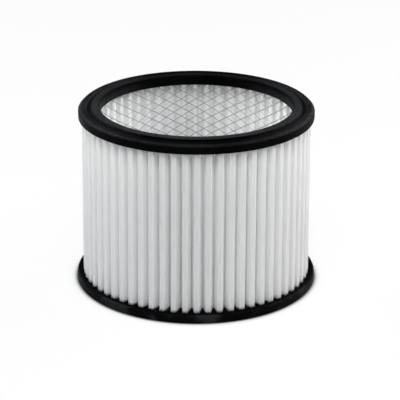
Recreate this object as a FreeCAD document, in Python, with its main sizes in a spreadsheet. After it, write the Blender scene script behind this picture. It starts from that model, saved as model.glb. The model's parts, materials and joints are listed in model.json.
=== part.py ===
"""Ring cartridge filter of a wet and dry vacuum cleaner: a pleated white sheet between two moulded caps.

The sheet stands as a closed ring of upright pleats around a support tube of expanded metal.
Both stop on the flat inner faces of the two black caps, and the bore runs through the whole ring.
Millimetres, +Z up, origin at the centre of the underside.
"""
import FreeCAD, Part
import math
import os
import Sketcher

# Driving sizes in millimetres, and counts
SIZES = {
    "bore_radius": 74.0,
    "mesh_setback": 0.7,
    "mesh_thickness": 0.8,
    "mesh_cells_around": 12,
    "mesh_cells_high": 5,
    "strand_width": 3.0,
    "mesh_clearance": 0.3,
    "pleat_count": 60,
    "pleat_depth": 12.35,
    "pleat_height": 126.5,
    "sheet_thickness": 0.6,
    "tip_fold_radius": 2.2,
    "tip_fold_thickness": 1.4,
    "root_fold_width": 2.2,
    "root_fold_thickness": 0.9,
    "base_height": 6.0,
    "base_overhang": 4.7,
    "base_edge_radius": 1.8,
    "crown_height": 8.5,
    "crown_overhang": 1.7,
    "rim_width": 6.4,
    "rim_drop": 0.7,
    "rim_edge_radius": 2.4,
    "groove_width": 3.4,
    "groove_depth": 3.0,
    "edge_break": 0.6,
}

# Flats that stand for a round edge or fold
RIM_EDGE_FLATS = 3
BASE_EDGE_FLATS = 2
TIP_FOLD_FLATS = 7

FULL_TURN = 360.0
UP = FreeCAD.Vector(0, 0, 1)
START, END, CENTRE = 1, 2, 3
ORIGIN_POINT = (-1, 1)
X_AXIS, Y_AXIS = -1, -2

doc = FreeCAD.newDocument("ring_cartridge_filter")
sheet = doc.addObject("Spreadsheet::Sheet", "Sizes")
for row, (alias, number) in enumerate(SIZES.items(), start=1):
    sheet.set(f"A{row}", alias)
    sheet.set(f"B{row}", str(number))
    sheet.setAlias(f"B{row}", alias)
doc.recompute()


class Size:
    """A number for a sketch's first lines, with the expression that keeps it tied to the sheet."""

    def __init__(self, number, text):
        self.number = number
        self.text = text

    def __add__(self, other):
        return Size(self.number + other.number, f"({self.text} + {other.text})")

    def __sub__(self, other):
        return Size(self.number - other.number, f"({self.text} - {other.text})")

    def __mul__(self, other):
        return Size(self.number * other.number, f"({self.text} * {other.text})")

    def __truediv__(self, other):
        return Size(self.number / other.number, f"({self.text} / {other.text})")


def plain(number):
    return Size(number, str(number))


HALF = plain(0.5)
TWICE = plain(2)
HALF_TURN = plain(FULL_TURN / 2)


def size(alias):
    return Size(sheet.get(alias), f"Sizes.{alias}")


def sine(angle):
    return Size(math.sin(math.radians(angle.number)), f"sin({angle.text})")


def cosine(angle):
    return Size(math.cos(math.radians(angle.number)), f"cos({angle.text})")


# Places that several pieces share
bore_radius = size("bore_radius")
half_cell_angle = HALF_TURN / size("mesh_cells_around")
facet_half_angle = half_cell_angle * HALF
mesh_flat = bore_radius + size("mesh_setback")
mesh_inner_radius = mesh_flat / cosine(facet_half_angle)
mesh_outer_radius = (mesh_flat + size("mesh_thickness")) / cosine(facet_half_angle)
pleat_root = mesh_outer_radius + size("mesh_clearance")
pleat_tip = pleat_root + size("pleat_depth")
base_top = size("base_height")
crown_under = base_top + size("pleat_height")


def point(x, y):
    return FreeCAD.Vector(x, y, 0)


def origin_feature(body, role):
    return next(feature for feature in body.Origin.OriginFeatures if feature.Role == role)


def new_body(label):
    body = doc.addObject("PartDesign::Body", label)
    body.Label = label
    return body


def new_sketch(body, name, role):
    sketch = body.newObject("Sketcher::SketchObject", name)
    sketch.AttachmentSupport = [(origin_feature(body, role), "")]
    sketch.MapMode = "FlatFace"
    return sketch


def draw_line(sketch, start, end, construction=False):
    return sketch.addGeometry(Part.LineSegment(start, end), construction)


def rule(sketch, kind, *parts):
    return sketch.addConstraint(Sketcher.Constraint(kind, *parts))


def hold(sketch, name, bound, kind, *parts):
    """Adds a dimension to a sketch, names it and ties it to the sheet."""
    index = rule(sketch, kind, *parts, bound.number)
    sketch.renameConstraint(index, name)
    sketch.setExpression(f"Constraints.{name}", bound.text)


def round_edge(radius, flats):
    """Steps (inwards, along) from a sharp outer corner to each point of a round edge made of a few flats."""
    turns = [math.pi / 2 * index / flats for index in range(flats + 1)]
    return [(radius * plain(1 - math.cos(turn)), radius * plain(1 - math.sin(turn))) for turn in turns]


def draw_section(sketch, path):
    """Closes an outline through points (x, y). A height of None lies on the sketch's own X axis."""
    places = [point(x.number, y.number if y else 0) for x, y in path]
    edges = [draw_line(sketch, start, end) for start, end in zip(places[-1:] + places, places)]
    for index, (x, y) in enumerate(path):
        edge, following = edges[index], edges[(index + 1) % len(edges)]
        rule(sketch, "Coincident", edge, END, following, START)
        hold(sketch, f"point_{index}_x", x, "DistanceX", *ORIGIN_POINT, edge, END)
        if y:
            hold(sketch, f"point_{index}_y", y, "DistanceY", *ORIGIN_POINT, edge, END)
        else:
            rule(sketch, "PointOnObject", edge, END, X_AXIS)


def turned_ring(label, path):
    body = new_body(label)
    sketch = new_sketch(body, f"{label}_section", "XZ_Plane")
    draw_section(sketch, path)
    ring = body.newObject("PartDesign::Revolution", f"{label}_ring")
    ring.Profile = sketch
    ring.ReferenceAxis = (sketch, ["V_Axis"])
    ring.Angle = FULL_TURN
    body.Tip = ring
    return body


def bottom_end_cap():
    """The wider flange that the cartridge stands on, flat on both faces."""
    outer = pleat_tip + size("base_overhang")
    break_edge = size("edge_break")
    foot = round_edge(size("base_edge_radius"), BASE_EDGE_FLATS)
    return turned_ring("bottom_end_cap", [
        (bore_radius, None),
        (outer - size("base_edge_radius"), None),
        *[(outer - along, inwards) for inwards, along in foot[1:]],
        (outer, base_top - break_edge),
        (outer - break_edge, base_top),
        (bore_radius, base_top),
    ])


def top_end_cap():
    """The upper ring: an outer rim with a round shoulder, a seal groove and a slightly higher inner lip."""
    outer = pleat_tip + size("crown_overhang")
    lip_top = crown_under + size("crown_height")
    rim_top = lip_top - size("rim_drop")
    groove_floor = rim_top - size("groove_depth")
    groove_outer = outer - size("rim_width")
    groove_inner = groove_outer - size("groove_width")
    break_edge = size("edge_break")
    shoulder = round_edge(size("rim_edge_radius"), RIM_EDGE_FLATS)
    return turned_ring("top_end_cap", [
        (bore_radius, crown_under),
        (outer, crown_under),
        *[(outer - inwards, rim_top - along) for inwards, along in shoulder],
        (groove_outer + break_edge, rim_top),
        (groove_outer, rim_top - break_edge),
        (groove_outer, groove_floor),
        (groove_inner, groove_floor),
        (groove_inner, lip_top - break_edge),
        (groove_inner - break_edge, lip_top),
        (bore_radius + break_edge, lip_top),
        (bore_radius, lip_top - break_edge),
    ])


def draw_pleat(sketch):
    """One pleat of the sheet, from the middle of one root fold to the middle of the next, facing +X."""
    half_pitch = HALF_TURN / size("pleat_count")
    thickness = size("sheet_thickness")
    tip_radius = size("tip_fold_radius")
    tip_centre = pleat_tip - tip_radius
    tip_inside = pleat_tip - size("tip_fold_thickness")
    root_land = size("root_fold_width") * HALF
    root_thickness = size("root_fold_thickness")

    # Where the folds and flanks meet, on the side of +Y
    half_turn = math.radians(half_pitch.number)
    outward = point(math.cos(half_turn), math.sin(half_turn))
    across = point(math.sin(half_turn), -math.cos(half_turn))
    root_in = outward * pleat_root.number
    root_out = outward * (pleat_root.number + root_thickness.number)
    inner_foot = root_in + across * root_land.number
    centre = point(tip_centre.number, 0)
    reach = centre - inner_foot
    slope = math.atan2(reach.y, reach.x)
    slope += math.asin((tip_radius.number - thickness.number) / reach.Length)
    along = point(math.cos(slope), math.sin(slope))
    normal = point(-math.sin(slope), math.cos(slope))
    tip_start = centre + normal * tip_radius.number
    inner_head = inner_foot + along * ((tip_inside.number - inner_foot.x) / along.x)
    run = (root_out - tip_start).dot(outward) / along.dot(outward)
    outer_foot = tip_start + along * run

    # The outline from one end of the tip fold round to the other, with one side as a mirror of the other
    side = [tip_start, outer_foot, root_out, root_in, inner_foot, inner_head]
    ends = side + [point(p.x, -p.y) for p in reversed(side)]
    lines = [draw_line(sketch, start, end) for start, end in zip(ends, ends[1:])]
    outer_flank, outer_land, joint, inner_land, inner_flank = lines[:5]
    for line, following in zip(lines, lines[1:]):
        rule(sketch, "Coincident", line, END, following, START)
    for line, mirrored in zip(lines[:5], reversed(lines[6:])):
        rule(sketch, "Symmetric", line, END, mirrored, START, X_AXIS)

    # The round tip fold, and the equal flats that stand for it
    sweep = math.pi / 2 + slope
    tip_circle = Part.Circle(centre, UP, tip_radius.number)
    tip = sketch.addGeometry(Part.ArcOfCircle(tip_circle, -sweep, sweep), True)
    rule(sketch, "Tangent", tip, END, outer_flank, START)
    rule(sketch, "Coincident", tip, START, lines[-1], END)
    rule(sketch, "PointOnObject", tip, CENTRE, X_AXIS)
    rule(sketch, "Vertical", tip, START, tip, END)
    hold(sketch, "tip_radius", tip_radius, "Radius", tip)
    hold(sketch, "tip_centre", tip_centre, "DistanceX", *ORIGIN_POINT, tip, CENTRE)
    hold(sketch, "tip_inside", tip_inside, "DistanceX", *ORIGIN_POINT, inner_flank, END)
    turns = [sweep * (2 * index / TIP_FOLD_FLATS - 1) for index in range(TIP_FOLD_FLATS + 1)]
    rim = [centre + point(math.cos(turn), math.sin(turn)) * tip_radius.number for turn in turns]
    flats = [draw_line(sketch, start, end) for start, end in zip(rim, rim[1:])]
    rule(sketch, "Coincident", flats[0], START, lines[-1], END)
    rule(sketch, "Coincident", flats[-1], END, outer_flank, START)
    for flat, following in zip(flats, flats[1:]):
        rule(sketch, "Coincident", flat, END, following, START)
        rule(sketch, "PointOnObject", flat, END, tip)
        rule(sketch, "Equal", flat, following)

    # The flat root fold, square to the middle plane between two pleats
    middle = draw_line(sketch, point(0, 0), root_in, True)
    rule(sketch, "Coincident", middle, START, *ORIGIN_POINT)
    rule(sketch, "Coincident", middle, END, joint, END)
    hold(sketch, "half_pitch", Size(half_turn, half_pitch.text), "Angle", middle)
    hold(sketch, "root_radius", pleat_root, "Distance", middle)
    rule(sketch, "Parallel", joint, middle)
    rule(sketch, "Perpendicular", outer_land, middle)
    rule(sketch, "Perpendicular", inner_land, middle)
    hold(sketch, "root_thickness", root_thickness, "Distance", joint)
    hold(sketch, "root_land", root_land, "Distance", inner_land)

    # The flank is one sheet thick
    rule(sketch, "Parallel", inner_flank, outer_flank)
    hold(sketch, "thickness", thickness, "Distance", inner_flank, START, outer_flank)


def pleated_media():
    """The folded sheet: one pleat, stood on the bottom cap's face and repeated round the axis."""
    body = new_body("pleated_media")
    sketch = new_sketch(body, "pleat_section", "XY_Plane")
    sketch.setExpression("AttachmentOffset.Base.z", base_top.text)
    draw_pleat(sketch)
    pleat = body.newObject("PartDesign::Pad", "pleat")
    pleat.Profile = sketch
    pleat.setExpression("Length", size("pleat_height").text)
    doc.recompute()
    ring = body.newObject("PartDesign::PolarPattern", "pleat_ring")
    ring.Originals = [pleat]
    ring.Axis = (origin_feature(body, "Z_Axis"), [""])
    ring.Angle = FULL_TURN
    ring.setExpression("Occurrences", size("pleat_count").text)
    body.Tip = ring
    return body


def tube_blank(body, kind, name, radius):
    blank = body.newObject(kind, name)
    blank.AttachmentSupport = [(origin_feature(body, "XY_Plane"), "")]
    blank.MapMode = "FlatFace"
    blank.setExpression("AttachmentOffset.Base.z", base_top.text)
    blank.setExpression("Polygon", (size("mesh_cells_around") * TWICE).text)
    blank.setExpression("Circumradius", radius.text)
    blank.setExpression("Height", size("pleat_height").text)


def draw_gap(sketch, half_width, half_height):
    """A diamond gap, half a strand inside the lattice line from (half_width, 0) to (0, half_height)."""
    half_strand = size("strand_width") * HALF
    lattice = draw_line(sketch, point(half_width.number, 0), point(0, half_height.number), True)
    rule(sketch, "PointOnObject", lattice, START, X_AXIS)
    rule(sketch, "PointOnObject", lattice, END, Y_AXIS)
    hold(sketch, "lattice_x", half_width, "DistanceX", *ORIGIN_POINT, lattice, START)
    hold(sketch, "lattice_y", half_height, "DistanceY", *ORIGIN_POINT, lattice, END)
    slant = math.hypot(half_width.number, half_height.number)
    share = 1 - half_strand.number * slant / (half_width.number * half_height.number)
    right = point(half_width.number * share, 0)
    top = point(0, half_height.number * share)
    tips = [right, top, right * -1, top * -1]
    sides = [draw_line(sketch, start, end) for start, end in zip(tips, tips[1:] + tips[:1])]
    for side, following in zip(sides, sides[1:] + sides[:1]):
        rule(sketch, "Coincident", side, END, following, START)
    rule(sketch, "PointOnObject", sides[0], START, X_AXIS)
    rule(sketch, "PointOnObject", sides[0], END, Y_AXIS)
    rule(sketch, "Symmetric", sides[0], START, sides[2], START, *ORIGIN_POINT)
    rule(sketch, "Symmetric", sides[1], START, sides[3], START, *ORIGIN_POINT)
    rule(sketch, "Parallel", sides[0], lattice)
    hold(sketch, "half_strand", half_strand, "Distance", sides[0], START, lattice)


def cut_gaps(body, name, turn, lift, row_height):
    """Cuts one diamond through the tube's wall and repeats it up the tube and round it."""
    doc.recompute()
    uncut = body.Tip.Shape.Volume
    sketch = new_sketch(body, f"{name}_outline", "XZ_Plane")
    sketch.AttachmentOffset = FreeCAD.Placement(point(0, 0), FreeCAD.Rotation(point(0, 1), 0))
    sketch.setExpression("AttachmentOffset.Base.y", (base_top + lift).text)
    sketch.setExpression("AttachmentOffset.Rotation.Angle", turn.text)
    draw_gap(sketch, mesh_outer_radius * sine(half_cell_angle), row_height * HALF)
    gap = body.newObject("PartDesign::Pocket", name)
    gap.Profile = sketch
    gap.setExpression("Length", (mesh_outer_radius + size("mesh_thickness")).text)
    doc.recompute()
    if gap.Shape.Volume >= uncut:
        raise RuntimeError(f"{name} cuts nothing")
    repeat = body.newObject("PartDesign::MultiTransform", f"{name}_pattern")
    repeat.Originals = [gap]
    rows = body.newObject("PartDesign::LinearPattern", f"{name}_rows")
    rows.Direction = (origin_feature(body, "Z_Axis"), [""])
    rows.Mode = "Spacing"
    rows.setExpression("Offset", row_height.text)
    rows.setExpression("Occurrences", size("mesh_cells_high").text)
    columns = body.newObject("PartDesign::PolarPattern", f"{name}_columns")
    columns.Axis = (origin_feature(body, "Z_Axis"), [""])
    columns.Angle = FULL_TURN
    columns.setExpression("Occurrences", size("mesh_cells_around").text)
    repeat.Transformations = [rows, columns]
    body.Tip = repeat


def support_mesh():
    """The expanded metal tube: a thin faceted wall with two staggered sets of diamond gaps."""
    body = new_body("support_mesh")
    tube_blank(body, "PartDesign::AdditivePrism", "tube_outside", mesh_outer_radius)
    tube_blank(body, "PartDesign::SubtractivePrism", "tube_inside", mesh_inner_radius)
    row_height = size("pleat_height") / (size("mesh_cells_high") - HALF)
    cut_gaps(body, "gap", plain(0), plain(0), row_height)
    cut_gaps(body, "staggered_gap", half_cell_angle, row_height * HALF, row_height)
    return body


def check(bodies):
    """Stops before anything is written if a feature failed or a piece is not one sound solid."""
    failed = [item.Label for item in doc.Objects if "Invalid" in item.State or "Error" in item.State]
    for body in bodies:
        shape = body.Shape
        if shape.isNull() or not shape.isValid() or len(shape.Solids) != 1:
            failed.append(body.Label)
    if failed:
        raise RuntimeError(f"failed: {failed}")


bodies = [bottom_end_cap(), top_end_cap(), support_mesh(), pleated_media()]
doc.recompute()
check(bodies)
os.makedirs("parts", exist_ok=True)
for body in bodies:
    body.Shape.exportStep(f"parts/{body.Label}.step")
    print(body.Label, round(body.Shape.Volume, 1), body.Shape.BoundBox)
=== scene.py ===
"""Ring cartridge filter: white pleated sheet round an expanded metal tube, between two cast black rings."""

import json
import math

import bmesh
import bpy
from mathutils import Matrix, Vector, noise


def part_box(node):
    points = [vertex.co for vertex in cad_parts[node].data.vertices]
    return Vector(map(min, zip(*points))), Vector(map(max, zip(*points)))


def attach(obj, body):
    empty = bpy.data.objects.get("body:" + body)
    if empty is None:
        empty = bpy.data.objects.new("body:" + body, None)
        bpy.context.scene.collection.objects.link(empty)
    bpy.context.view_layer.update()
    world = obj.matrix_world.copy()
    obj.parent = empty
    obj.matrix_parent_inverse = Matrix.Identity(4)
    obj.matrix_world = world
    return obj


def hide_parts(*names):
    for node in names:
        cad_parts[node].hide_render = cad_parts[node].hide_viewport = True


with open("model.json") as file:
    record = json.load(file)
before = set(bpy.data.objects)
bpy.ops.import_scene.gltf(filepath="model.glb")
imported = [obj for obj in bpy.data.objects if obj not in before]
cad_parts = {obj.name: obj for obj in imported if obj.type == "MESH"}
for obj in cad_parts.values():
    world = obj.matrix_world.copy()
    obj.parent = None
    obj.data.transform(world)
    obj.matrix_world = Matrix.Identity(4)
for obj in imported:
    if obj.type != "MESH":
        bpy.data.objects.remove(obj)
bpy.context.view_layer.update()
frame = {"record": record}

MM = 0.001
FULL_TURN = 2 * math.pi

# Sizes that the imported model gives
BASE_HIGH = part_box("bottom_end_cap")[1]
CROWN_LOW, CROWN_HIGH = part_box("top_end_cap")
SHEET_LOW, SHEET_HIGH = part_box("pleated_media")
TUBE_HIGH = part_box("support_mesh")[1]
BORE_RADIUS = frame["record"]["mounts"][0]["dims"]["r_mm"] * MM
BASE_RADIUS = BASE_HIGH.x
BASE_TOP = BASE_HIGH.z
CROWN_RADIUS = CROWN_HIGH.x
CROWN_FOOT = CROWN_LOW.z
CROWN_TOP = CROWN_HIGH.z

# The cast rings
CAST_WAVER = 0.12 * MM
RIM_TOP = CROWN_TOP - 0.7 * MM
RIM_INSIDE = CROWN_RADIUS - 6.4 * MM
SHOULDER = 2.6 * MM
GROOVE_WIDTH = 3.4 * MM
GROOVE_FLOOR = RIM_TOP - 3.0 * MM

# The pleated sheet
PLEATS = 60
SHEET_THICKNESS = 1.0 * MM
PLEAT_TURN = math.radians(0.9)

# The expanded metal tube
CELLS_AROUND = 38
CELL_HEIGHT = 7.3 * MM
FIRST_BOND = 3.68 * MM
CELL_ROWS = 18
TUBE_RADIUS = 75.3 * MM

# The floor, and how far the painted contact shadow reaches out from where the base stands on it
FLOOR_REACH = 6.0
FLOOR_HEIGHT = -0.1 * MM
FLOOR_GLOW = 0.88
CONTACT_REACH = 10 * MM

# The lamps
SKY_STRENGTH = 0.06
LAMP_DISTANCE = 1.4
SNOOT_CONE = math.radians(5.2)
SNOOT_BLEND = 0.6
SNOOT_RADIUS = 0.06
SNOOT_AIM_DEPTH = 20 * MM

# The camera, as the photograph was taken
CAMERA_DISTANCE = 1.325
CAMERA_ELEVATION = math.radians(21.296)
CAMERA_ROLL = math.radians(0.267)
AIM_HEIGHT = 70 * MM
PIXELS_PER_METRE = 1282.0
AIM_PIXEL = (196.116, 190.336)
IMAGE_SIDE = 400
SENSOR_WIDTH = 36.0


def socket_of(sockets, key):
    """Finds a socket among those in use, by its place or by its name."""
    in_use = [socket for socket in sockets if socket.enabled]
    if isinstance(key, int):
        return in_use[key]
    return next(socket for socket in in_use if socket.name == key)


class Wire:
    """An output socket. Arithmetic on it adds Math nodes to its tree."""

    def __init__(self, board, socket):
        self.board = board
        self.socket = socket

    def out(self, name):
        return Wire(self.board, socket_of(self.socket.node.outputs, name))

    def math(self, operation, *values):
        return self.board.node("ShaderNodeMath", {"operation": operation}, dict(enumerate(values)))

    def __add__(self, other):
        return self.math("ADD", self, other)

    def __radd__(self, other):
        return self.math("ADD", other, self)

    def __sub__(self, other):
        return self.math("SUBTRACT", self, other)

    def __rsub__(self, other):
        return self.math("SUBTRACT", other, self)

    def __mul__(self, other):
        return self.math("MULTIPLY", self, other)

    def __rmul__(self, other):
        return self.math("MULTIPLY", other, self)

    def __truediv__(self, other):
        return self.math("DIVIDE", self, other)

    def __rtruediv__(self, other):
        return self.math("DIVIDE", other, self)

    def __pow__(self, other):
        return self.math("POWER", self, other)

    def __mod__(self, other):
        return self.math("FLOORED_MODULO", self, other)

    def __lt__(self, other):
        return self.math("LESS_THAN", self, other)

    def __abs__(self):
        return self.math("ABSOLUTE", self)

    def floor(self):
        return self.math("FLOOR", self)

    def sign(self):
        return self.math("SIGN", self)

    def sine(self):
        return self.math("SINE", self)

    def cosine(self):
        return self.math("COSINE", self)


class Board:
    """A node tree, with one method for every kind of node."""

    def __init__(self, tree):
        self.tree = tree

    def node(self, kind, settings=None, sockets=None):
        made = self.tree.nodes.new(kind)
        for name, value in (settings or {}).items():
            if name == "stops":
                self.set_stops(made.color_ramp, value)
            else:
                setattr(made, name, value)
        for key, value in (sockets or {}).items():
            self.join(socket_of(made.inputs, key), value)
        given = [socket for socket in made.outputs if socket.enabled]
        return Wire(self, given[0]) if given else None

    def join(self, socket, value):
        if isinstance(value, Wire):
            self.tree.links.new(value.socket, socket)
        elif isinstance(value, (list, tuple)) and value and isinstance(value[0], Wire):
            for wire in reversed(value):
                self.tree.links.new(wire.socket, socket)
        else:
            socket.default_value = value

    def set_stops(self, ramp, stops):
        while len(ramp.elements) < len(stops):
            ramp.elements.new(0.5)
        for element, (place, grey) in zip(ramp.elements, stops):
            element.position = place
            element.color = (grey, grey, grey, 1)

    def noise(self, where, scale, detail=2.0, roughness=0.5):
        sockets = {"Vector": where, "Scale": scale, "Detail": detail, "Roughness": roughness}
        return self.node("ShaderNodeTexNoise", {}, sockets)

    def ramp(self, value, *stops):
        return self.node("ShaderNodeValToRGB", {"stops": stops}, {"Fac": value})

    def colour(self, share, first, second):
        sockets = {"Factor": share, "A": first, "B": second}
        return self.node("ShaderNodeMix", {"data_type": "RGBA"}, sockets)

    def stretch(self, where, scale, turn=(0, 0, 0)):
        return self.node("ShaderNodeMapping", {}, {"Vector": where, "Scale": scale, "Rotation": turn})

    def bump(self, height, strength, distance):
        sockets = {"Height": height, "Strength": strength, "Distance": distance}
        return self.node("ShaderNodeBump", {}, sockets)

    def vector(self, x, y, z):
        return self.node("ShaderNodeCombineXYZ", {}, {"X": x, "Y": y, "Z": z})


def new_finish(name):
    material = bpy.data.materials.new(name)
    material.use_nodes = True
    material.node_tree.nodes.clear()
    return material, Board(material.node_tree)


def surface(board, sockets):
    shader = board.node("ShaderNodeBsdfPrincipled", {}, sockets)
    board.node("ShaderNodeOutputMaterial", {}, {"Surface": shader})


def cast_black():
    """Black cast elastomer: a soft uneven sheen, a fine skin grain, random scuffs, and painted highlights
    and sheen on the rim's shoulder, the lip's front, and the tops, groove and bore at the left and right
    sides.
    """
    # The lighter grey serves both for random scuffs and for the painted highlights and sheen
    clean, scuff_and_sheen_grey = (0.0006, 0.0006, 0.0010, 1), (0.036, 0.037, 0.040, 1)
    material, board = new_finish("cast_black")
    where = board.node("ShaderNodeTexCoord").out("Object")
    place = board.node("ShaderNodeSeparateXYZ", {}, {"Vector": where})
    x, y, height = place, place.out("Y"), place.out("Z")
    radius = (x * x + y * y) ** 0.5

    # The patterns in its surface
    cloud = board.noise(where, 42.0, 4.0, 0.62)
    skin = board.noise(where, 380.0, 3.0, 0.6)
    grain = board.noise(where, 2300.0, 2.0)
    blotch = board.ramp(cloud, (0.40, 0.0), (0.72, 1.0))
    patches = board.ramp(cloud, (0.50, 0.0), (0.60, 1.0))
    speckle = board.ramp(board.noise(where, 760.0, 3.0, 0.7), (0.42, 0.0), (0.62, 1.0))

    # Where on the rings a point lies
    outward = board.ramp((radius - CROWN_RADIUS) / SHOULDER + 1.0, (0.0, 0.0), (0.5, 1.0))
    upward = board.ramp((height - RIM_TOP) / SHOULDER + 1.0, (0.0, 0.0), (0.5, 1.0))
    lip = board.ramp((height - RIM_TOP) / (CROWN_TOP - RIM_TOP), (0.3, 0.0), (0.9, 1.0))
    # share for the lip's painted sheen, highest at the front
    painted_front_sheen_share = board.ramp(y / CROWN_RADIUS * 0.5 + 0.5, (0.05, 1.0), (0.5, 0.35), (0.95, 0.15))
    # share for the painted sheen at the left and right sides
    beside = board.ramp(abs(x) / CROWN_RADIUS, (0.40, 0.0), (0.95, 1.0))
    at_edge = radius < BORE_RADIUS + 1.0 * MM
    on_top = upward * (1.0 - at_edge)
    sunk = (CROWN_TOP - height) / (CROWN_TOP - CROWN_FOOT)
    in_bore = at_edge * board.ramp(sunk, (0.15, 0.0), (0.6, 1.0), (0.99, 1.0), (1.0, 0.0))
    to_groove = abs(radius - RIM_INSIDE + GROOVE_WIDTH * 0.5)
    in_groove = (to_groove < GROOVE_WIDTH * 0.5 + 0.2 * MM) * (1.0 - (height < GROOVE_FLOOR - 1.0 * MM))

    # Random scuffs, and painted highlights and sheen where light catches the rings
    scuffs = blotch * 0.04 + (height < BASE_TOP) * (0.03 + patches * 0.42)
    # painted sheen: the tops and the lower bore are lighter at the left and right sides only
    painted_sheen_at_sides = beside * (on_top * (0.02 + blotch * 0.2 + speckle * 0.5) + in_bore * (0.4 + speckle * 0.3))
    # painted highlight on the rim's rounded outer shoulder
    painted_shoulder_highlight = outward * upward * (0.06 + blotch * 0.25 + speckle * 0.3)
    # painted sheen on the lip's crest, strongest at the front
    painted_lip_sheen = lip * painted_front_sheen_share * (0.42 + blotch * 0.25 + speckle * 0.2)
    # painted light: the shaded groove floor is lighter at the left and right sides only
    painted_groove_light = beside * in_groove * 0.25
    surface(board, {
        "Base Color": board.colour(painted_shoulder_highlight + scuffs + painted_sheen_at_sides + painted_lip_sheen + painted_groove_light, clean, scuff_and_sheen_grey),
        "Roughness": 0.36 + blotch * 0.16 + skin * 0.14,
        "Specular IOR Level": 0.018,
        "Normal": board.bump(skin * 0.6 + grain * 0.4, 0.30, 0.2 * MM),
    })
    return material


def white_nonwoven():
    """White nonwoven sheet: matt, fine crossed fibres, a faint cloudy weight, and painted light that makes
    it whitest at its inner folds, lifting the shaded inside of the tube.
    """
    thin, thick = (0.970, 0.982, 0.985, 1), (0.983, 0.990, 0.992, 1)
    painted_inner_white = (0.993, 0.997, 0.996, 1)
    material, board = new_finish("white_nonwoven")
    where = board.node("ShaderNodeTexCoord").out("Object")
    cloud = board.noise(where, 120.0, 3.0, 0.6)
    rising = board.noise(board.stretch(where, (1.0, 1.0, 0.22), (0.5, 0.3, 0.2)), 2400.0, 3.0, 0.65)
    falling = board.noise(board.stretch(where, (1.0, 1.0, 0.22), (-0.6, -0.4, 0.9)), 2100.0, 3.0, 0.65)
    fibres = (rising + falling) * 0.5
    weight = board.ramp(cloud * 0.3 + fibres * 0.7, (0.30, 0.0), (0.70, 1.0))
    place = board.node("ShaderNodeSeparateXYZ", {}, {"Vector": where})
    x, y = place, place.out("Y")
    radius = (x * x + y * y) ** 0.5
    # painted light: the sheet is whiter towards the tube, to lift the shaded inside
    inner = board.ramp((radius - TUBE_HIGH.x) / (SHEET_HIGH.x - TUBE_HIGH.x), (0.10, 1.0), (0.35, 0.0))
    surface(board, {
        "Base Color": board.colour(inner, board.colour(weight, thin, thick), painted_inner_white),
        "Roughness": 0.82 + fibres * 0.14,
        "Specular IOR Level": 0.2,
        "Subsurface Weight": 1.0,
        "Subsurface Radius": (1.0, 1.0, 1.0),
        "Subsurface Scale": 5 * MM,
        "Normal": board.bump(fibres, 0.15, 0.1 * MM),
    })
    return material


def dull_zinc():
    """Zinc-coated steel, dulled, with a mottled bloom."""
    bare, bloomed = (0.36, 0.365, 0.37, 1), (0.50, 0.505, 0.51, 1)
    material, board = new_finish("dull_zinc")
    where = board.node("ShaderNodeTexCoord").out("Object")
    bloom = board.noise(where, 260.0, 4.0, 0.6)
    grain = board.noise(where, 3000.0, 2.0)
    surface(board, {
        "Base Color": board.colour(bloom, bare, bloomed),
        "Metallic": 0.25 + bloom * 0.25,
        "Roughness": 0.42 + bloom * 0.22,
        "Normal": board.bump(grain, 0.2, 0.1 * MM),
    })
    return material


def rounded(corners, steps=6):
    """Rounds each corner (r, z, radius) of a closed section with an arc."""
    points = []
    for i, (r, z, radius) in enumerate(corners):
        corner = Vector((r, z))
        before = Vector(corners[i - 1][:2]) - corner
        after = Vector(corners[(i + 1) % len(corners)][:2]) - corner
        half = before.angle(after) / 2
        reach = min(radius / math.tan(half), before.length * 0.49, after.length * 0.49)
        radius = reach * math.tan(half)
        inwards = (before.normalized() + after.normalized()).normalized()
        centre = corner + inwards * radius / math.sin(half)
        start = corner + before.normalized() * reach - centre
        end = corner + after.normalized() * reach - centre
        turn = start.angle_signed(end)
        for step in range(steps + 1):
            points.append(centre + Matrix.Rotation(-turn * step / steps, 2) @ start)
    return points


def turned(name, section, uneven, finish, segments=360):
    """Turns a closed section about the axis. The cast surface wanders by a little."""
    shape = bmesh.new()
    rows = []
    for i in range(segments):
        angle = FULL_TURN * i / segments
        round_the_axis = Vector((math.cos(angle), math.sin(angle), 0))
        row = []
        for r, z in section:
            place = round_the_axis * r + Vector((0, 0, z))
            waver = noise.noise(place * 28) * 0.6 + noise.noise(place * 90) * 0.4
            outward = round_the_axis * waver * uneven
            row.append(shape.verts.new(place + outward))
        rows.append(row)
    count = len(section)
    for i in range(segments):
        here, there = rows[i], rows[(i + 1) % segments]
        for j in range(count):
            shape.faces.new((here[j], there[j], there[(j + 1) % count], here[(j + 1) % count]))
    bmesh.ops.recalc_face_normals(shape, faces=shape.faces)
    for face in shape.faces:
        face.smooth = True
    mesh = bpy.data.meshes.new(name)
    shape.to_mesh(mesh)
    shape.free()
    mesh.materials.append(finish)
    piece = bpy.data.objects.new(name, mesh)
    bpy.context.scene.collection.objects.link(piece)
    return piece


def top_ring(finish):
    """The crown: a rounded outer rim, a seal groove and a slightly higher inner lip."""
    lip_outside = RIM_INSIDE - GROOVE_WIDTH
    section = rounded([
        (BORE_RADIUS, CROWN_FOOT, 0.5 * MM),
        (CROWN_RADIUS, CROWN_FOOT, 0.3 * MM),
        (CROWN_RADIUS, RIM_TOP - SHOULDER, 0.5 * MM),
        (CROWN_RADIUS - SHOULDER, RIM_TOP, 2.0 * MM),
        (RIM_INSIDE, RIM_TOP, 0.9 * MM),
        (RIM_INSIDE - 0.2 * MM, GROOVE_FLOOR, 0.8 * MM),
        (lip_outside + 0.2 * MM, GROOVE_FLOOR, 0.8 * MM),
        (lip_outside, CROWN_TOP, 1.2 * MM),
        (BORE_RADIUS, CROWN_TOP, 0.9 * MM),
    ])
    return turned("top_ring", section, CAST_WAVER, finish)


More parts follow.
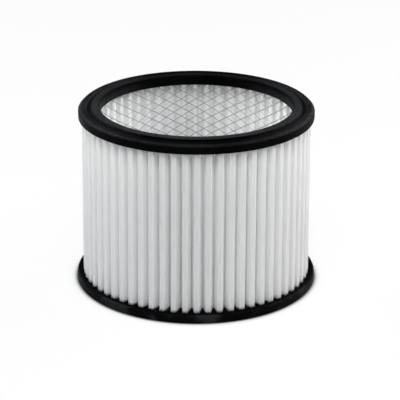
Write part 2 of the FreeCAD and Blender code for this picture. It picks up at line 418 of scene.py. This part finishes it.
def bottom_ring(finish):
    """The base flange that the filter stands on."""
    section = rounded([
        (BORE_RADIUS, 0, 0.6 * MM),
        (BASE_RADIUS, 0, 0.4 * MM),
        (BASE_RADIUS, BASE_TOP, 1.8 * MM),
        (BORE_RADIUS, BASE_TOP, 0.5 * MM),
    ])
    return turned("bottom_ring", section, CAST_WAVER, finish)


# The kind of socket that takes each kind of input
INPUT_KINDS = {
    int: "NodeSocketInt",
    float: "NodeSocketFloat",
    bpy.types.Material: "NodeSocketMaterial",
}


def new_tree(name, sizes):
    """A geometry tree with one named input for each size, and the wires of those inputs."""
    tree = bpy.data.node_groups.new(name, "GeometryNodeTree")
    tree.interface.new_socket("Geometry", in_out="OUTPUT", socket_type="NodeSocketGeometry")
    for label, value in sizes.items():
        tree.interface.new_socket(label, in_out="INPUT", socket_type=INPUT_KINDS[type(value)])
    board = Board(tree)
    first = board.node("NodeGroupInput")
    return board, {label: first.out(label) for label in sizes}


def close_tree(board, shape, finish):
    """Ends a tree: makes its instances real and gives them their finish."""
    shape = board.node("GeometryNodeRealizeInstances", {}, {"Geometry": shape})
    shape = board.node("GeometryNodeSetMaterial", {}, {"Geometry": shape, "Material": finish})
    board.node("NodeGroupOutput", {}, {"Geometry": shape})


def grown(name, board, sizes):
    """Runs a tree with its inputs set and keeps the result as a plain mesh."""
    piece = bpy.data.objects.new(name, bpy.data.meshes.new(name))
    bpy.context.scene.collection.objects.link(piece)
    modifier = piece.modifiers.new("build", "NODES")
    modifier.node_group = board.tree
    for item in board.tree.interface.items_tree:
        if item.in_out == "INPUT":
            modifier[item.identifier] = sizes[item.name]
    graph = bpy.context.evaluated_depsgraph_get()
    mesh = bpy.data.meshes.new_from_object(piece.evaluated_get(graph))
    piece.modifiers.remove(modifier)
    piece.data = mesh
    return piece


def pleat_tree(sizes):
    """One folded sheet: a closed line of rounded folds, drawn up its height, no two pleats alike."""
    board, given = new_tree("pleat_tree", sizes)
    pleats = given["Pleats"]
    tip, root = given["Tip radius"], given["Root radius"]
    waist = root + (tip - root) * given["Waist share"]

    # The folds' corners, each pleat's tip, waist and root on both its sides
    per_pleat = 6.0
    middle = (per_pleat - 1.0) / 2.0
    index = board.node("GeometryNodeInputIndex")
    pleat = (index / per_pleat).floor()
    corner = index - pleat * per_pleat - middle
    at_tip = abs(corner) < 1.0
    at_root = 1.0 - (abs(corner) < 2.0)
    at_waist = 1.0 - at_tip - at_root
    half_pitch = math.pi / pleats
    tip_half = given["Tip width"] * 0.5 / tip
    waist_half = half_pitch - given["Waist gap"] * 0.5 / waist
    root_half = half_pitch - given["Root width"] * 0.5 / root
    half = tip_half * at_tip + waist_half * at_waist + root_half * at_root
    angle = given["Turn"] + pleat * FULL_TURN / pleats + corner.sign() * half
    reach = tip * at_tip + waist * at_waist + root * at_root
    tip_fold = given["Tip fold"] * (1.0 + corner.sign() * given["Uneven tip"])
    fold = tip_fold * at_tip + given["Waist fold"] * at_waist + given["Root fold"] * at_root
    line = board.node("GeometryNodeCurvePrimitiveCircle", {"mode": "RADIUS"},
                      {"Resolution": pleats * per_pleat, "Radius": 1.0})
    corners = board.vector(reach * angle.sine(), 0.0 - reach * angle.cosine(), 0.0)
    line = board.node("GeometryNodeSetPosition", {}, {"Geometry": line, "Position": corners})
    line = board.node("GeometryNodeFilletCurve", {"mode": "POLY"},
                      {"Curve": line, "Count": 8, "Radius": fold, "Limit Radius": True})

    # A flat grid drawn up along that line, with its rows closest near the rings
    grid = board.node("GeometryNodeMeshGrid", {}, {
        "Size X": 1.0, "Size Y": 1.0,
        "Vertices X": pleats * given["Steps"] + 1.0, "Vertices Y": given["Rows"],
    })
    flat = board.node("ShaderNodeSeparateXYZ", {}, {"Vector": board.node("GeometryNodeInputPosition")})
    along, up = flat.out("X") + 0.5, flat.out("Y") + 0.5
    up = up * up * (3.0 - up * 2.0)
    on_line = board.node("GeometryNodeSampleCurve", {"mode": "FACTOR"},
                         {"Curves": line, "Factor": along})
    spot = board.node("ShaderNodeSeparateXYZ", {}, {"Vector": on_line.out("Position")})
    folded = board.vector(spot.out("X"), spot.out("Y"), given["Foot"] + up * given["Height"])
    shape = board.node("GeometryNodeSetPosition", {}, {"Geometry": grid, "Position": folded})
    shape = board.node("GeometryNodeMergeByDistance", {}, {"Geometry": shape, "Distance": 0.01 * MM})

    # Each pleat leans, swells and wanders, and its valleys come out where they are pressed or cast in
    place = board.node("ShaderNodeSeparateXYZ", {}, {"Vector": board.node("GeometryNodeInputPosition")})
    x, y, z = place.out("X"), place.out("Y"), place.out("Z")
    radius = (x * x + y * y) ** 0.5
    around = radius.math("ARCTAN2", x, 0.0 - y) - given["Turn"]
    number = ((around * pleats / FULL_TURN + 0.5).floor()) % pleats
    loose = board.node("ShaderNodeClamp", {}, {"Value": (radius - root) / (tip - root)})
    share = (z - given["Foot"]) / given["Height"]
    drift = board.noise(board.vector(number * 3.17 + given["Seed"], share * 1.6, 0.0), 1.0, 1.0)
    swell = board.noise(board.vector(number * 2.71 + given["Seed"], share * 1.1, 9.0), 1.0, 1.0)
    turned_by = ((drift - 0.5) * 2.0 * given["Wander"] + given["Lean"]) * loose / radius
    to_ring = (0.5 - abs(share - 0.5)) * given["Height"]
    cast_in = board.node("ShaderNodeClamp", {}, {"Value": 1.0 - to_ring / given["Spread height"]})
    pushed = ((swell - 0.5) * 2.0 * given["Swell"] + (0.5 - share) * given["Flare"]) * loose
    pressed = board.ramp(around / FULL_TURN + 0.5, (0.38, 0.6), (0.45, 0.2), (0.505, 0.25), (0.565, 1.0))
    spread = cast_in * cast_in * given["Spread at rings"]
    spread = spread.math("MAXIMUM", spread, pressed * given["Pressed depth"])
    pushed = pushed + spread * (1.0 - loose)
    angle = around + given["Turn"] + turned_by
    angle = angle - angle.sine() * given["Crowding"]
    radius = radius + pushed
    moved = board.vector(radius * angle.sine(), 0.0 - radius * angle.cosine(), z)
    shape = board.node("GeometryNodeSetPosition", {}, {"Geometry": shape, "Position": moved})
    shape = board.node("GeometryNodeSetShadeSmooth", {}, {"Geometry": shape})
    close_tree(board, shape, given["Material"])
    return board


def pleats(finish):
    """The folded sheet, with its thickness."""
    sizes = {
        "Pleats": PLEATS,
        "Steps": 44,
        "Rows": 15,
        "Tip radius": SHEET_HIGH.x - 0.5 * MM,
        "Root radius": TUBE_HIGH.x + SHEET_THICKNESS + 0.4 * MM,
        "Waist share": 0.22,
        "Tip width": 4.0 * MM,
        "Waist gap": 1.1 * MM,
        "Root width": 3.4 * MM,
        "Tip fold": 0.9 * MM,
        "Uneven tip": 0.6,
        "Waist fold": 1.0 * MM,
        "Root fold": 0.8 * MM,
        "Foot": SHEET_LOW.z,
        "Height": SHEET_HIGH.z - SHEET_LOW.z,
        "Turn": PLEAT_TURN,
        "Crowding": math.radians(3.2),
        "Lean": -0.6 * MM,
        "Wander": 0.16 * MM,
        "Swell": 0.16 * MM,
        "Flare": 1.0 * MM,
        "Pressed depth": 5.0 * MM,
        "Spread at rings": 2.6 * MM,
        "Spread height": 10.0 * MM,
        "Seed": 4.0,
        "Material": finish,
    }
    piece = grown("pleats", pleat_tree(sizes), sizes)
    wall = piece.modifiers.new("sheet", "SOLIDIFY")
    wall.thickness = SHEET_THICKNESS
    wall.offset = -1
    return piece


def lattice_tree(sizes):
    """Leaning strands between bonds on a flat grid, rolled into a tube."""
    board, given = new_tree("lattice_tree", sizes)
    radius, high = given["Tube radius"], given["Cell height"]
    wide = FULL_TURN * radius / given["Cells around"]
    slope = high.math("ARCTAN2", high, wide)
    length = (wide * wide + high * high) ** 0.5 * 0.5
    columns, rows = given["Cells around"] * 2.0, given["Rows"] * 2.0
    grid = board.node("GeometryNodeMeshGrid", {}, {
        "Size X": 1.0, "Size Y": 1.0, "Vertices X": columns, "Vertices Y": rows})
    index = board.node("GeometryNodeInputIndex")
    column = (index / rows).floor()
    row = index - column * rows
    is_bond = (column + row) % 2.0 < 0.5
    bonds = board.vector(column * wide * 0.5, 0.0, given["First bond"] + row * high * 0.5)
    grid = board.node("GeometryNodeSetPosition", {}, {"Geometry": grid, "Position": bonds})

    def strand(long, heading, across, lift):
        bar = board.node("GeometryNodeMeshCube", {}, {
            "Size": board.vector(long, given["Strand thickness"], given["Strand width"]),
            "Vertices X": 3, "Vertices Y": 2, "Vertices Z": 2})
        bar = board.node("GeometryNodeTransform", {}, {
            "Geometry": bar, "Rotation": board.vector(given["Lean"], heading, 0.0),
            "Translation": board.vector(across, 0.0, lift)})
        return board.node("GeometryNodeInstanceOnPoints", {}, {
            "Points": grid, "Selection": is_bond, "Instance": bar})

    rising = strand(length, 0.0 - slope, wide * 0.25, high * 0.25)
    falling = strand(length, slope, wide * -0.25, high * 0.25)
    knuckle = strand(given["Bond length"], 0.0, 0.0, 0.0)
    flat = board.node("GeometryNodeJoinGeometry", {}, {"Geometry": [rising, falling, knuckle]})
    flat = board.node("GeometryNodeRealizeInstances", {}, {"Geometry": flat})
    place = board.node("ShaderNodeSeparateXYZ", {}, {"Vector": board.node("GeometryNodeInputPosition")})
    angle = place.out("X") / radius
    out = radius + place.out("Y")
    rolled = board.vector(out * angle.sine(), out * angle.cosine(), place.out("Z"))
    tube = board.node("GeometryNodeSetPosition", {}, {"Geometry": flat, "Position": rolled})
    close_tree(board, tube, given["Material"])
    return board


def expanded_tube(finish):
    """The expanded metal tube inside the pleats."""
    sizes = {
        "Cells around": CELLS_AROUND,
        "Rows": CELL_ROWS,
        "Tube radius": TUBE_RADIUS,
        "Cell height": CELL_HEIGHT,
        "First bond": FIRST_BOND,
        "Strand width": 0.7 * MM,
        "Strand thickness": 0.25 * MM,
        "Lean": math.radians(40),
        "Bond length": 1.8 * MM,
        "Material": finish,
    }
    return grown("expanded_tube", lattice_tree(sizes), sizes)


def pale_floor():
    """A wide pale floor that reads as white and takes the object's shadow, and whose glow is darkened close
    to the base by ambient occlusion: a painted contact shadow.
    """
    mesh = bpy.data.meshes.new("floor")
    around = [(-1, -1), (1, -1), (1, 1), (-1, 1)]
    corners = [(x * FLOOR_REACH, y * FLOOR_REACH, FLOOR_HEIGHT) for x, y in around]
    mesh.from_pydata(corners, [], [(0, 1, 2, 3)])
    floor = bpy.data.objects.new("floor", mesh)
    bpy.context.scene.collection.objects.link(floor)
    material, board = new_finish("pale_floor")
    rays = board.node("ShaderNodeLightPath")
    seen = rays.math("MAXIMUM", rays.out("Is Camera Ray"), rays.out("Is Glossy Ray"))
    seen = seen.math("MAXIMUM", seen, rays.out("Is Transmission Ray"))
    matt = board.node("ShaderNodeBsdfDiffuse", {}, {"Color": (0.88, 0.88, 0.88, 1)})
    # painted contact shadow: ambient occlusion darkens the floor's glow near the base
    nearby = board.node("ShaderNodeAmbientOcclusion", {"samples": 16}, {"Distance": CONTACT_REACH})
    clear = board.ramp(nearby.out("AO"), (0.54, 0.0), (0.64, 0.35), (0.74, 0.8), (0.86, 0.98), (1.0, 1.0))
    glow_with_painted_shadow = board.colour(clear, (0.0, 0.0, 0.0, 1), (1.0, 1.0, 1.0, 1))
    white = board.node("ShaderNodeEmission", {}, {"Color": glow_with_painted_shadow, "Strength": 1.0})
    shown = board.node("ShaderNodeMixShader", {}, {0: FLOOR_GLOW, 1: matt, 2: white})
    both = board.node("ShaderNodeMixShader", {}, {0: seen, 1: matt, 2: shown})
    board.node("ShaderNodeOutputMaterial", {}, {"Surface": both})
    mesh.materials.append(material)


def aim_lamp(name, lamp, azimuth, elevation, target):
    """Hangs a lamp so that it looks at the target. Azimuth 0 is the camera's side."""
    piece = bpy.data.objects.new(name, lamp)
    bpy.context.scene.collection.objects.link(piece)
    a, e = math.radians(azimuth), math.radians(elevation)
    away = Vector((math.sin(a) * math.cos(e), -math.cos(a) * math.cos(e), math.sin(e)))
    piece.location = target + away * LAMP_DISTANCE
    piece.rotation_mode = "QUATERNION"
    piece.rotation_quaternion = (-away).to_track_quat("-Z", "Y")


def softbox(name, azimuth, elevation, side, power, colour):
    """A square lamp that looks at the middle of the filter."""
    lamp = bpy.data.lights.new(name, "AREA")
    lamp.shape = "SQUARE"
    lamp.size = side
    lamp.energy = power
    lamp.color = colour
    aim_lamp(name, lamp, azimuth, elevation, Vector((0, 0, AIM_HEIGHT)))


def snoot(name, azimuth, elevation, power, colour):
    """A narrow lamp that looks through the opening at the far inside wall."""
    lamp = bpy.data.lights.new(name, "SPOT")
    lamp.energy = power
    lamp.color = colour
    lamp.spot_size = SNOOT_CONE
    lamp.spot_blend = SNOOT_BLEND
    lamp.shadow_soft_size = SNOOT_RADIUS
    a = math.radians(azimuth)
    depth = CROWN_FOOT - SNOOT_AIM_DEPTH
    far_wall = Vector((-math.sin(a) * BORE_RADIUS, math.cos(a) * BORE_RADIUS, depth))
    aim_lamp(name, lamp, azimuth, elevation, far_wall)


def studio():
    """A faint even sky, soft lamps all round, cool at the left, warm at the right, and two narrow ones."""
    world = bpy.data.worlds.new("studio")
    world.use_nodes = True
    world.node_tree.nodes.clear()
    board = Board(world.node_tree)
    sky = board.node("ShaderNodeBackground", {}, {"Color": (1, 1, 1, 1), "Strength": SKY_STRENGTH})
    board.node("ShaderNodeOutputWorld", {}, {"Surface": sky})
    bpy.context.scene.world = world
    softbox("key_left", -10, 57, 0.7, 9.9, (0.95, 0.985, 1.0))
    softbox("key_right", 20, 55, 0.7, 4.6, (1.0, 0.995, 0.98))
    softbox("side_left", -95, 35, 0.8, 3.8, (0.93, 0.975, 1.0))
    softbox("side_right", 95, 35, 0.8, 5.9, (1.0, 0.975, 0.935))
    softbox("back_left", -130, 30, 0.9, 5.6, (0.93, 0.975, 1.0))
    softbox("back_right", 130, 30, 0.9, 7.2, (1.0, 0.975, 0.94))
    snoot("inside_from_right", 62, 35, 78.0, (0.985, 1.0, 0.99))
    snoot("inside_from_left", -62, 35, 72.0, (0.985, 1.0, 0.99))


def camera():
    """The camera, turned so that the aim point falls on its pixel."""
    lens = PIXELS_PER_METRE * CAMERA_DISTANCE / IMAGE_SIDE * SENSOR_WIDTH
    data = bpy.data.cameras.new("camera")
    data.sensor_width = SENSOR_WIDTH
    data.lens = lens
    data.clip_end = 50
    eye = bpy.data.objects.new("camera", data)
    bpy.context.scene.collection.objects.link(eye)
    sine, cosine = math.sin(CAMERA_ELEVATION), math.cos(CAMERA_ELEVATION)
    aim = Vector((0, 0, AIM_HEIGHT))
    place = aim + Vector((0, -cosine, sine)) * CAMERA_DISTANCE
    aside = (IMAGE_SIDE / 2 - AIM_PIXEL[0]) / PIXELS_PER_METRE
    below = (IMAGE_SIDE / 2 - AIM_PIXEL[1]) / PIXELS_PER_METRE
    target = aim + Vector((1, 0, 0)) * aside - Vector((0, sine, cosine)) * below
    look = (target - place).to_track_quat("-Z", "Y").to_matrix().to_4x4()
    eye.matrix_world = Matrix.Translation(place) @ look @ Matrix.Rotation(CAMERA_ROLL, 4, "Z")
    bpy.context.scene.camera = eye


def seat(piece, node):
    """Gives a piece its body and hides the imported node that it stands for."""
    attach(piece, "root")
    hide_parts(node)


black = cast_black()
seat(top_ring(black), "top_end_cap")
seat(bottom_ring(black), "bottom_end_cap")
seat(pleats(white_nonwoven()), "pleated_media")
seat(expanded_tube(dull_zinc()), "support_mesh")

pale_floor()
studio()
camera()
bpy.context.scene.view_settings.view_transform = "Standard"
